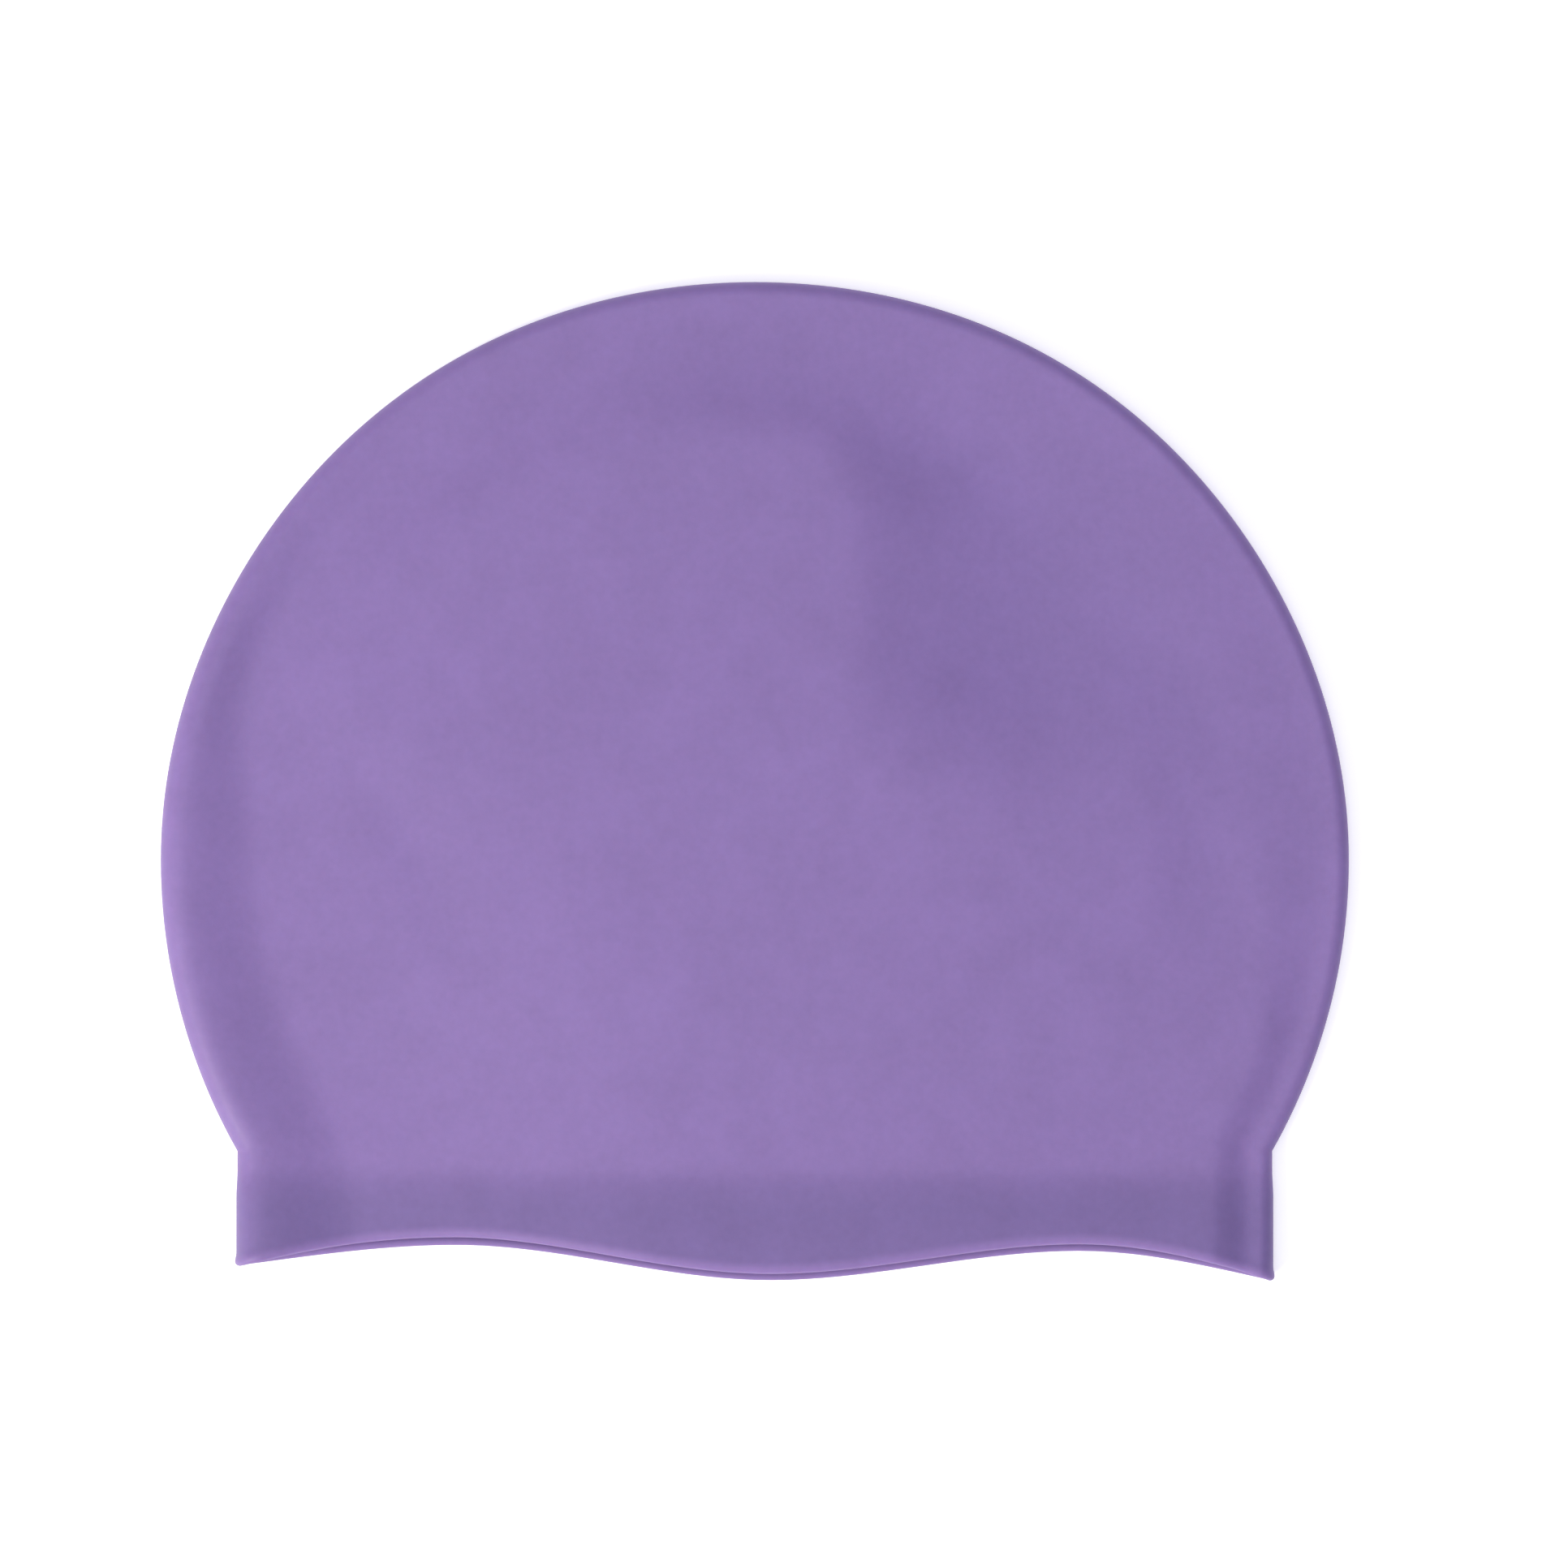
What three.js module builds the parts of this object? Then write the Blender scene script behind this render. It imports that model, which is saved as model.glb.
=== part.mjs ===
// Swim cap of moulded silicone, lying flat on a table with its mouth open.
//
// Millimetres, +Z up. The crown points to +Y and the waved mouth to -Y. The real cap is one
// moulding, so it is one solid: an upper and a lower sheet that run into each other round a
// folded edge and stay apart at the lips. A thin middle surface is worked out first, and the
// wall and the rolled lip bead are then laid on both sides of it.

import * as THREE from 'three';
import { mergeVertices } from 'three/addons/utils/BufferGeometryUtils.js';

const { clamp, degToRad, lerp, radToDeg, smoothstep } = THREE.MathUtils;

// Outline seen from above
const WIDTH = 220; // across the widest line
const CROWN_RISE = 107; // from the widest line up to the top of the crown
const CROWN_TUCK = 0.77; // how far the crown's temples lie inside a plain ellipse
const NECK_TUCK = 14.2; // how far each notch lies inside the widest line
const NECK_DROP = 53.8; // from the widest line down to the notches
const MOUTH_DROP = 24.2; // from the notches down to the middle of the lip
const LIP_STEP = 1.8; // how far the lower lip shows past the upper one

// Thickness of the silicone
const WALL = 0.8;
const SKIRT_WALL = 1.2; // the skirt is moulded thicker, and holds the mouth in shape
const SKIRT_BLEND = 5; // length over which the wall thickens into the skirt
const LIP_BEAD = 1.7; // rolled bead along both lips
const BEAD_FADE = 1.6; // length over which the bead thins down to the wall
const LIP_CURL = 0.8; // how far the upper lip turns down at its very edge

// Heights as the cap lies
const CROWN_HEIGHT = 9; // top of the upper sheet at the middle of the crown
const MOUTH_GAPE = 7; // clear height that the stiff skirt holds open, before the lip turns down
const FOLD_HEIGHT = 4.8; // overall height of the folded edge
const FOLD_REACH = 2.4; // how far in the folded edge is round underneath
const FOLD_CREST = 0.12; // how far on the way in to the slope's foot the folded edge stays high
const FIELD_RUN = 85; // how far in the upper sheet goes on rising gently
const DOME_FALL = 0.5; // how fast the upper sheet rounds off towards its edge
const SIDE_BLEND = 35; // how far from the middle line the two sides' slopes pass into each other
const SKIRT_START = 3.6; // from the notches down to the straight line where the skirt starts

// Wave of the lip, from the left corner to the right one.
// across: share of half the neck's width, drop: share of MOUTH_DROP
const LIP_WAVE = [
  { across: -1.35, drop: 1.0 },
  { across: -0.58, drop: 0.727 },
  { across: 0.03, drop: 0.997 },
  { across: 0.63, drop: 0.773 },
  { across: 1.35, drop: 1.2 },
];

// Upper sheet just inside the fold, from the mouth up to the crown. It rounds the folded edge,
// sinks to the slope's foot and climbs the slope up to its shore.
// level: share of the crown's rise, or below the widest line of the mouth's depth
// reach: how far in the fold is round on top, foot and shore: distances in, as shares of WIDTH
// swell: how much higher the fold stands there, as a share of its own height
// dip: how far the sheet sinks at the foot, as a share of FOLD_HEIGHT
// climb: share of the rise that the slope makes, and the gentle rise makes the rest
const LEFT_EDGE = [
  { level: -1, reach: 0.0205, swell: 0.9, foot: 0.11, shore: 0.4, dip: 0.26, climb: 0 },
  { level: -0.86, reach: 0.0205, swell: 0.9, foot: 0.105, shore: 0.4, dip: 0.28, climb: 0 },
  { level: -0.6, reach: 0.0205, swell: 0.9, foot: 0.09, shore: 0.38, dip: 0.24, climb: 0 },
  { level: 0, reach: 0.0205, swell: 0.9, foot: 0.085, shore: 0.36, dip: 0.22, climb: 0 },
  { level: 0.34, reach: 0.018, swell: 0.7, foot: 0.048, shore: 0.13, dip: 0.14, climb: 0.1 },
  { level: 0.6, reach: 0.014, swell: 0.2, foot: 0.045, shore: 0.13, dip: 0.08, climb: 0.4 },
  { level: 1, reach: 0.0105, swell: 0, foot: 0.01, shore: 0.17, dip: 0, climb: 0.9 },
];
const RIGHT_EDGE = [
  { level: -1, reach: 0.0105, swell: 0, foot: 0.018, shore: 0.052, dip: 0.02, climb: 0.65 },
  { level: -0.86, reach: 0.0105, swell: 0, foot: 0.018, shore: 0.052, dip: 0.02, climb: 0.65 },
  { level: -0.5, reach: 0.0105, swell: 0, foot: 0.018, shore: 0.05, dip: 0.03, climb: 0.55 },
  { level: -0.15, reach: 0.0105, swell: 0, foot: 0.018, shore: 0.07, dip: 0.03, climb: 0.3 },
  { level: 0.3, reach: 0.0105, swell: 0, foot: 0.015, shore: 0.15, dip: 0.02, climb: 0.6 },
  { level: 1, reach: 0.0105, swell: 0, foot: 0.01, shore: 0.15, dip: 0, climb: 0.8 },
];

// Soft ripples in the upper sheet, where it has settled. Each one steps down across an arc, away
// from the arc's centre, and climbs back farther out.
// across, up: centre, radius, fall, reach: lengths, all as shares of half the width
// facing, spread: direction of the arc's middle from +X, and half the arc, in degrees
// drop: share of CROWN_HEIGHT
const RIPPLES = [
  { across: -0.5, up: 0.45, radius: 0.68, facing: 3, spread: 27, fall: 0.26, reach: 0.4, drop: 0.34 },
  { across: -0.12, up: 0.29, radius: 0.47, facing: 66, spread: 42, fall: 0.17, reach: 0.3, drop: 0.18 },
  { across: 0, up: 0, radius: 0.67, facing: 14, spread: 30, fall: 0.12, reach: 0.14, drop: 0.12 },
  { across: -1.1, up: -0.25, radius: 0.545, facing: 24, spread: 22, fall: 0.04, reach: 0.1, drop: 0.04 },
];
const RIPPLE_EDGE = 3; // length over which a step rounds off where it starts
const RIPPLE_RUN = 34; // how far in from the fold the ripples reach their full depth
const RIPPLE_CORE = 0.3; // share of half the arc over which a ripple is as deep as in its middle

// Fineness of the mesh
const NOSE_STEPS = 4; // round the end of the lip bead
const FADE_STEPS = 2;
const SKIRT_STEPS = 6;
const JAW_STEPS = 6; // from the notches to the widest line
const CROWN_STEPS = 17; // from the widest line to the top of the crown
const FOLD_STEPS = 5;
const EDGE_STEPS = 6; // from the folded edge to the end of the edge zone
const UPPER_STEPS = 10; // from the edge zone to the middle line
const LOWER_STEPS = 9;
const EDGE_ZONE = 26; // width of the zone whose columns follow the fold
const EDGE_CROWDING = 1.5; // how much closer those columns stand near the fold
const FOLD_LINE_STEPS = 120;

const halfWall = WALL / 2;
const halfSkirt = SKIRT_WALL / 2;
const halfBead = LIP_BEAD / 2;
const halfWidth = WIDTH / 2 - halfWall;
const crownRise = CROWN_RISE - halfWall;
const neckHalf = halfWidth - NECK_TUCK;
const jawReach = NECK_DROP / Math.sqrt(1 - (neckHalf / halfWidth) ** 2);
const neckTurn = -Math.asin(NECK_DROP / jawReach);
const mouthDepth = NECK_DROP + MOUTH_DROP;
const skirtLine = -NECK_DROP - SKIRT_START;
const foldMiddle = FOLD_HEIGHT / 2;
const ridge = FOLD_HEIGHT - halfWall;
const lipMiddle = LIP_BEAD + MOUTH_GAPE + halfBead;
const lipRoll = halfBead + BEAD_FADE;
const pole = new THREE.Vector2(0, -NECK_DROP);

// Columns of a table at a place between its rows, which it passes through smoothly
function readTable(rows, key, place) {
  const at = clamp(place, rows[0][key], rows.at(-1)[key]);
  const next = Math.max(1, rows.findIndex((row) => at <= row[key]));
  const [before, after] = [rows[next - 1], rows[next]];
  const share = smoothstep(at, before[key], after[key]);
  const names = Object.keys(before);
  return Object.fromEntries(names.map((name) => [name, lerp(before[name], after[name], share)]));
}

// Rise of a quarter ellipse, from 0 at its foot to 1
function quarter(share) {
  return Math.sqrt(1 - (1 - clamp(share, 0, 1)) ** 2);
}

// Right half of the outline, at an eccentric angle from the widest line
function outlinePoint(turn) {
  const reach = turn < 0 ? jawReach : crownRise;
  const point = new THREE.Vector2(halfWidth * Math.cos(turn), reach * Math.sin(turn));
  const tuck = turn < 0 ? 0 : CROWN_TUCK * Math.sin(2 * turn) ** 2 * Math.cos(2 * turn);
  return point.multiplyScalar(1 - tuck / point.length());
}

function inwardAt(turn) {
  const nudge = 1e-3;
  const along = outlinePoint(turn + nudge).sub(outlinePoint(turn - nudge)).normalize();
  return new THREE.Vector2(-along.y, along.x);
}

function lipLine(x, isUpper) {
  const { drop } = readTable(LIP_WAVE, 'across', x / neckHalf);
  const step = isUpper ? LIP_STEP * (1 - Math.abs(x / neckHalf) ** 8) : 0;
  return step - NECK_DROP - MOUTH_DROP * drop;
}

// Fold of the right half, from the lip's corner up to the top of the crown
const foldLine = [new THREE.Vector2(neckHalf, -2 * mouthDepth)];
for (let i = 0; i <= FOLD_LINE_STEPS; i += 1) {
  foldLine.push(outlinePoint(lerp(neckTurn, Math.PI / 2, i / FOLD_LINE_STEPS)));
}

// Distance in from the fold
function setback(x, y) {
  const place = new THREE.Vector3(Math.abs(x), y, 0);
  const line = new THREE.Line3();
  const foot = new THREE.Vector3();
  let nearest = Infinity;
  for (let i = 1; i < foldLine.length; i += 1) {
    line.start.set(foldLine[i - 1].x, foldLine[i - 1].y, 0);
    line.end.set(foldLine[i].x, foldLine[i].y, 0);
    nearest = Math.min(nearest, line.closestPointToPoint(place, true, foot).distanceTo(place));
  }
  return nearest;
}

function ripples(x, y, inward) {
  let depth = 0;
  for (const ripple of RIPPLES) {
    const offset = new THREE.Vector2(x - ripple.across * halfWidth, y - ripple.up * halfWidth);
    offset.rotateAround(new THREE.Vector2(), -degToRad(ripple.facing));
    const turned = radToDeg(Math.abs(Math.atan2(offset.y, offset.x)));
    const past = offset.length() - ripple.radius * halfWidth;
    const beyond = (past + Math.hypot(past, RIPPLE_EDGE)) / 2;
    const fall = ripple.fall * halfWidth;
    const stepped = 1 - (1 - clamp(beyond / fall, 0, 1)) ** 2;
    const held = 1 - smoothstep(beyond, fall, fall + ripple.reach * halfWidth);
    const fading = 1 - smoothstep(turned, RIPPLE_CORE * ripple.spread, ripple.spread);
    depth += ripple.drop * CROWN_HEIGHT * stepped * held * fading;
  }
  return depth * smoothstep(inward, 0, RIPPLE_RUN);
}

// Both sides' slopes at a place, which pass into each other across the middle line
function edgeAt(x, y) {
  const level = y > 0 ? y / crownRise : y / mouthDepth;
  const left = readTable(LEFT_EDGE, 'level', level);
  const right = readTable(RIGHT_EDGE, 'level', level);
  const share = smoothstep(x, -SIDE_BLEND, SIDE_BLEND);
  const names = Object.keys(left);
  return Object.fromEntries(names.map((name) => [name, lerp(left[name], right[name], share)]));
}

// Middle of the upper sheet, before it turns up to the lip
function crownHeight(x, y, inward) {
  const edge = edgeAt(x, y);
  const foot = edge.foot * WIDTH;
  const sink = smoothstep(inward, FOLD_CREST * foot, foot);
  const slope = smoothstep(inward, foot, edge.shore * WIDTH);
  const swell = 1 + edge.swell * (1 - sink);
  const shoulder = (ridge - foldMiddle) * swell * quarter(inward / (edge.reach * WIDTH));
  const hollow = edge.dip * FOLD_HEIGHT * (sink - slope);
  const spread = (x / halfWidth) ** 2 + (y / crownRise) ** 2;
  const dome = (CROWN_HEIGHT - halfWall - ridge) * Math.exp(-DOME_FALL * spread);
  const rise = dome * lerp(smoothstep(inward, 0, FIELD_RUN), slope, edge.climb);
  return foldMiddle + shoulder - hollow + rise - ripples(x, y, inward);
}

const openHeight = crownHeight(0, -mouthDepth, neckHalf) - foldMiddle;
const lipLift = (lipMiddle - foldMiddle) / openHeight - 1;

function upperHeight(x, y, inward, fromLip) {
  const share = clamp((skirtLine - y) / (skirtLine - lipLine(x, true)), 0, 1);
  const lift = lipLift * (share + smoothstep(share, 0, 1)) / 2;
  const curl = LIP_CURL * (1 - clamp(fromLip / lipRoll, 0, 1)) ** 2 * quarter(inward / EDGE_ZONE);
  return foldMiddle + (crownHeight(x, y, inward) - foldMiddle) * (1 + lift) - curl;
}

// Half the thickness, as if the lip's bead had no round end
function fullHalf(y, fromLip) {
  const wall = lerp(halfWall, halfSkirt, smoothstep(skirtLine - y, 0, SKIRT_BLEND));
  return lerp(halfBead, wall, smoothstep(fromLip, halfBead, halfBead + BEAD_FADE));
}

function halfThickness(y, fromLip) {
  return fullHalf(y, fromLip) * quarter(fromLip / halfBead);
}

// The lower sheet lies on the table
function lowerHeight(y, inward, fromLip) {
  return lerp(foldMiddle, fullHalf(y, fromLip), quarter(inward / FOLD_REACH));
}

// Distances of the lip rows from the lip's edge
const lipRows = [];
for (let i = 0; i <= NOSE_STEPS; i += 1) {
  lipRows.push(halfBead * (1 - Math.cos((Math.PI / 2) * (i / NOSE_STEPS))));
}
for (let i = 1; i <= FADE_STEPS; i += 1) {
  lipRows.push(halfBead + BEAD_FADE * (i / FADE_STEPS));
}

// Distances of the columns that follow the fold
const edgeColumns = [];
for (let i = 0; i <= FOLD_STEPS; i += 1) {
  edgeColumns.push(FOLD_REACH * (1 - Math.cos((Math.PI / 2) * (i / FOLD_STEPS))));
}
for (let i = 1; i <= EDGE_STEPS; i += 1) {
  edgeColumns.push(lerp(FOLD_REACH, EDGE_ZONE, (i / EDGE_STEPS) ** EDGE_CROWDING));
}

// Eccentric angles of the rows round the jaw and the crown
const fanTurns = [];
for (let i = 1; i <= JAW_STEPS; i += 1) fanTurns.push(neckTurn * (1 - i / JAW_STEPS));
for (let i = 1; i <= CROWN_STEPS; i += 1) fanTurns.push((Math.PI / 2) * (i / CROWN_STEPS));

// One row of points, from the fold straight in and then on to the row's inner end
function makeRow(start, inward, end, steps) {
  const row = edgeColumns.map((distance) => start.clone().addScaledVector(inward, distance));
  const last = row.at(-1);
  for (let i = 1; i <= steps; i += 1) row.push(last.clone().lerp(end, i / steps));
  return row;
}

// Rows of one half of a sheet, from the lip's edge up to the top of the crown. Each point is
// x, y, the middle surface's height and half the thickness there.
function halfSheet(side, isUpper) {
  const steps = isUpper ? UPPER_STEPS : LOWER_STEPS;
  const notch = outlinePoint(neckTurn);
  const straightIn = new THREE.Vector2(-1, 0);
  const acrossRow = makeRow(notch, straightIn, pole, steps);
  const neckRow = makeRow(notch, inwardAt(neckTurn).add(straightIn).normalize(), pole, steps);
  const rows = lipRows.map((fromLip) => ({
    fromLip,
    places: acrossRow.map(({ x }) => new THREE.Vector2(x, lipLine(side * x, isUpper) + fromLip)),
  }));
  const skirtFoot = rows.at(-1).places;
  for (let i = 1; i <= SKIRT_STEPS; i += 1) {
    const places = skirtFoot.map((place, k) => place.clone().lerp(neckRow[k], i / SKIRT_STEPS));
    rows.push({ fromLip: mouthDepth, places });
  }
  for (const turn of fanTurns) {
    const places = makeRow(outlinePoint(turn), inwardAt(turn), pole, steps);
    rows.push({ fromLip: mouthDepth, places });
  }
  return rows.map(({ fromLip, places }) => places.map((place, i) => {
    const x = side * place.x;
    const inward = i < edgeColumns.length ? edgeColumns[i] : setback(x, place.y);
    const height = isUpper
      ? upperHeight(x, place.y, inward, fromLip)
      : lowerHeight(place.y, inward, fromLip);
    return [x, place.y, height, halfThickness(place.y, fromLip)];
  }));
}

// Welds equal points and drops the triangles that have shrunk to a line
function weld(geometry) {
  const welded = mergeVertices(geometry);
  const kept = [];
  for (let i = 0; i < welded.index.count; i += 3) {
    const corners = Array.from(welded.index.array.slice(i, i + 3));
    if (new Set(corners).size === 3) kept.push(...corners);
  }
  welded.setIndex(kept);
  return welded;
}

// Middle surface of the silicone, facing out of the cap
function middleSurface() {
  const positions = [];
  const halves = [];
  const addTriangle = (points, isFlipped) => {
    for (const [x, y, z, half] of isFlipped ? points.reverse() : points) {
      positions.push(x, y, z);
      halves.push(half);
    }
  };
  for (const [side, isUpper] of [[1, true], [-1, true], [1, false], [-1, false]]) {
    const rows = halfSheet(side, isUpper);
    const isFlipped = (side > 0) === isUpper;
    for (let r = 1; r < rows.length; r += 1) {
      for (let c = 1; c < rows[r].length; c += 1) {
        addTriangle([rows[r - 1][c - 1], rows[r - 1][c], rows[r][c]], isFlipped);
        addTriangle([rows[r - 1][c - 1], rows[r][c], rows[r][c - 1]], isFlipped);
      }
    }
  }
  const geometry = new THREE.BufferGeometry();
  geometry.setAttribute('position', new THREE.Float32BufferAttribute(positions, 3));
  geometry.setAttribute('half', new THREE.Float32BufferAttribute(halves, 1));
  const middle = weld(geometry);
  middle.computeVertexNormals();
  return middle;
}

// Lays the outer and the inner skin on the middle surface. They meet round the lips.
function layWall(middle) {
  const { position, normal, half } = middle.attributes;
  const positions = [];
  const addCorner = (i, way) => {
    const corner = new THREE.Vector3().fromBufferAttribute(position, i);
    const out = new THREE.Vector3().fromBufferAttribute(normal, i);
    positions.push(...corner.addScaledVector(out, way * half.getX(i)).toArray());
  };
  for (let i = 0; i < middle.index.count; i += 3) {
    const [a, b, c] = middle.index.array.slice(i, i + 3);
    for (const corner of [a, b, c]) addCorner(corner, 1);
    for (const corner of [a, c, b]) addCorner(corner, -1);
  }
  const geometry = new THREE.BufferGeometry();
  geometry.setAttribute('position', new THREE.Float32BufferAttribute(positions, 3));
  return weld(geometry);
}

// Puts the origin under the middle of the cap, on the table
function standOnOrigin(geometry) {
  geometry.computeBoundingBox();
  const { min, max } = geometry.boundingBox;
  return geometry.translate(-(min.x + max.x) / 2, -(min.y + max.y) / 2, -min.z);
}

const silicone = new THREE.MeshStandardMaterial({ color: 0x9479b8, roughness: 0.55, metalness: 0 });
const cap = new THREE.Mesh(standOnOrigin(layWall(middleSurface())), silicone);
cap.name = 'cap';

const swimCap = new THREE.Group();
swimCap.name = 'swim_cap';
swimCap.add(cap);

export default swimCap;
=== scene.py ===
# %% [markdown]
# # A moulded swim cap, lying flat
#
# The object is a plain lilac swim cap of silicone. It leaves its mould in one piece and lies flat
# by itself: an upper and a lower sheet that run into each other round a folded edge, and that stay
# apart at the waved mouth. The lesson builds that one soft shell in three steps. A thin middle
# surface is worked out with numpy, Geometry Nodes lay the wall and the rolled lip bead on both
# sides of it, and shader nodes give it the satin finish of silicone.

import bpy
import numpy as np
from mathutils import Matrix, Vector


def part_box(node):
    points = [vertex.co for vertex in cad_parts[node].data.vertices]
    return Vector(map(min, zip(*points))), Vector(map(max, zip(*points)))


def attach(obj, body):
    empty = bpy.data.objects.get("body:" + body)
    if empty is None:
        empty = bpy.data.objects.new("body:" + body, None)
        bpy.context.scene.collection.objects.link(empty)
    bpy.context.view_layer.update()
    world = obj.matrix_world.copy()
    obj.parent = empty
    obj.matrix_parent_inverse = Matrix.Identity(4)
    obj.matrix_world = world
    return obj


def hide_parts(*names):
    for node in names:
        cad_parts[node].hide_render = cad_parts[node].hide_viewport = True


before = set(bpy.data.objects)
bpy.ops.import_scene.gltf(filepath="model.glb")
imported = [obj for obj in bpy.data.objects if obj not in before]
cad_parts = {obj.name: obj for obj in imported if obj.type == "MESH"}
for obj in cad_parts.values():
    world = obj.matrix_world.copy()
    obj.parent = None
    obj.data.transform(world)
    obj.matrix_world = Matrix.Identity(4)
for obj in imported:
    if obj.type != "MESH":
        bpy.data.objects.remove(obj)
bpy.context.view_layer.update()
low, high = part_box("cap")
print("frame box of the cap, mm:", [round(1000 * side) for side in high - low])

# %% [markdown]
# ## Sizes
#
# Blender works in metres, so every length below is a real size times MM. The width comes from the
# frame, and the outline sizes are measured from the widest line of the cap. The thicknesses are
# what such caps usually have: a thin wall, a thicker skirt that holds the mouth open, and a round
# bead at the lips that keeps them from tearing. The heights are judged from the shading.
# What follows from these sizes is worked out once, in the cell after them, so that one change
# carries through the whole cap.

# %% Sizes of the outline, the silicone and the heights
MM = 0.001

# outline on the plan
WIDTH = high.x - low.x
CROWN_RISE = 107 * MM
CROWN_TUCK = 0.77 * MM
NECK_TUCK = 14.2 * MM
NECK_DROP = 53.8 * MM
SKIRT_START = 3.6 * MM
MOUTH_DROP = 24.2 * MM
LIP_STEP = 1.8 * MM

# silicone
WALL = 0.8 * MM
SKIRT_WALL = 1.2 * MM
SKIRT_BLEND = 5 * MM
LIP_BEAD = 1.7 * MM
BEAD_FADE = 1.6 * MM
LIP_CURL = 0.8 * MM

# heights as the cap lies, and how far in the slopes reach
CROWN_HEIGHT = 9 * MM
MOUTH_GAPE = 7 * MM
FOLD_HEIGHT = 4.8 * MM
FOLD_REACH = 2.4 * MM
FIELD_RUN = 85 * MM
SIDE_BLEND = 35 * MM
RIPPLE_EDGE = 3 * MM
RIPPLE_RUN = 34 * MM

# shares
# FOLD_CREST: of the way in to the slope's foot, where the fold stays high
# DOME_FALL: how fast the upper sheet rounds off towards its edge
# RIPPLE_CORE: of half the arc, where a ripple is as deep as in its middle
# SKIRT_STIFFNESS: how much less the skirt wobbles than the rest of the sheet
FOLD_CREST = 0.12
DOME_FALL = 0.5
RIPPLE_CORE = 0.3
SKIRT_STIFFNESS = 0.8
print("width, mm:", round(WIDTH / MM, 1), "wall, mm:", WALL / MM, "lip bead, mm:", LIP_BEAD / MM)

# %% What follows from the sizes
half_width = WIDTH / 2 - WALL / 2
crown_rise = CROWN_RISE - WALL / 2
neck_half = half_width - NECK_TUCK
jaw_reach = NECK_DROP / np.sqrt(1 - (neck_half / half_width) ** 2)
neck_turn = -np.arcsin(NECK_DROP / jaw_reach)
mouth_depth = NECK_DROP + MOUTH_DROP
skirt_line = -NECK_DROP - SKIRT_START
widest_line = high.y - CROWN_RISE
fold_middle = FOLD_HEIGHT / 2
ridge = FOLD_HEIGHT - WALL / 2
lip_middle = LIP_BEAD + MOUTH_GAPE + LIP_BEAD / 2
print("half width at the notch, mm:", round(1000 * neck_half, 1))

# %% [markdown]
# ## Tables
#
# A soft cap never lies quite evenly, so its wave, edge slopes and ripples are kept in short tables
# that can be tuned by eye. Their numbers are shares of the sizes above. One reader blends a table
# smoothly from row to row, which keeps every ridge and hollow free of kinks. The ripples need no
# such blend: each of their rows is a form of its own, and the forms add up.

# %% Reader for the tables
def smooth(value, start, end):
    """0 before start, 1 after end, and an even S between them."""
    share = np.clip((value - start) / (end - start), 0, 1)
    return share * share * (3 - 2 * share)


def read_table(table, key, place):
    """All columns of a table at the given places between its rows."""
    keys = np.array([row[key] for row in table])
    place = np.clip(place, keys[0], keys[-1])
    after = np.clip(np.searchsorted(keys, place), 1, len(keys) - 1)
    share = smooth(place, keys[after - 1], keys[after])
    columns = {}
    for name in table[0]:
        values = np.array([row[name] for row in table])
        columns[name] = values[after - 1] + (values[after] - values[after - 1]) * share
    return columns


# %% Wave of the lip, and slopes inside the fold
# across: share of half the neck's width, drop: share of MOUTH_DROP
LIP_WAVE = [
    dict(across=-1.35, drop=1.0),
    dict(across=-0.58, drop=0.727),
    dict(across=0.03, drop=0.997),
    dict(across=0.63, drop=0.773),
    dict(across=1.35, drop=1.2),
]

# level: share of the crown's rise, or below the widest line of the mouth's depth
# reach, swell: width of the fold's round as a share of WIDTH, and its extra height
# foot, shore: start and end of the slope, in from the fold, as shares of WIDTH
# dip: sinking at the foot, share of FOLD_HEIGHT, climb: share of the rise made on the slope
LEFT_EDGE = [
    dict(level=-1, reach=0.0205, swell=0.9, foot=0.11, shore=0.4, dip=0.26, climb=0),
    dict(level=-0.86, reach=0.0205, swell=0.9, foot=0.105, shore=0.4, dip=0.28, climb=0),
    dict(level=-0.6, reach=0.0205, swell=0.9, foot=0.09, shore=0.38, dip=0.24, climb=0),
    dict(level=0, reach=0.0205, swell=0.9, foot=0.085, shore=0.36, dip=0.22, climb=0),
    dict(level=0.34, reach=0.018, swell=0.7, foot=0.048, shore=0.13, dip=0.14, climb=0.1),
    dict(level=0.6, reach=0.014, swell=0.2, foot=0.045, shore=0.13, dip=0.08, climb=0.4),
    dict(level=1, reach=0.0105, swell=0, foot=0.01, shore=0.17, dip=0, climb=0.9),
]
RIGHT_EDGE = [
    dict(level=-1, reach=0.0105, swell=0, foot=0.018, shore=0.052, dip=0.02, climb=0.65),
    dict(level=-0.86, reach=0.0105, swell=0, foot=0.018, shore=0.052, dip=0.02, climb=0.65),
    dict(level=-0.5, reach=0.0105, swell=0, foot=0.018, shore=0.05, dip=0.03, climb=0.55),
    dict(level=-0.15, reach=0.0105, swell=0, foot=0.018, shore=0.07, dip=0.03, climb=0.3),
    dict(level=0.3, reach=0.0105, swell=0, foot=0.015, shore=0.15, dip=0.02, climb=0.6),
    dict(level=1, reach=0.0105, swell=0, foot=0.01, shore=0.15, dip=0, climb=0.8),
]
print("lip drops, mm:", [round(1000 * MOUTH_DROP * row["drop"], 1) for row in LIP_WAVE])

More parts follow.
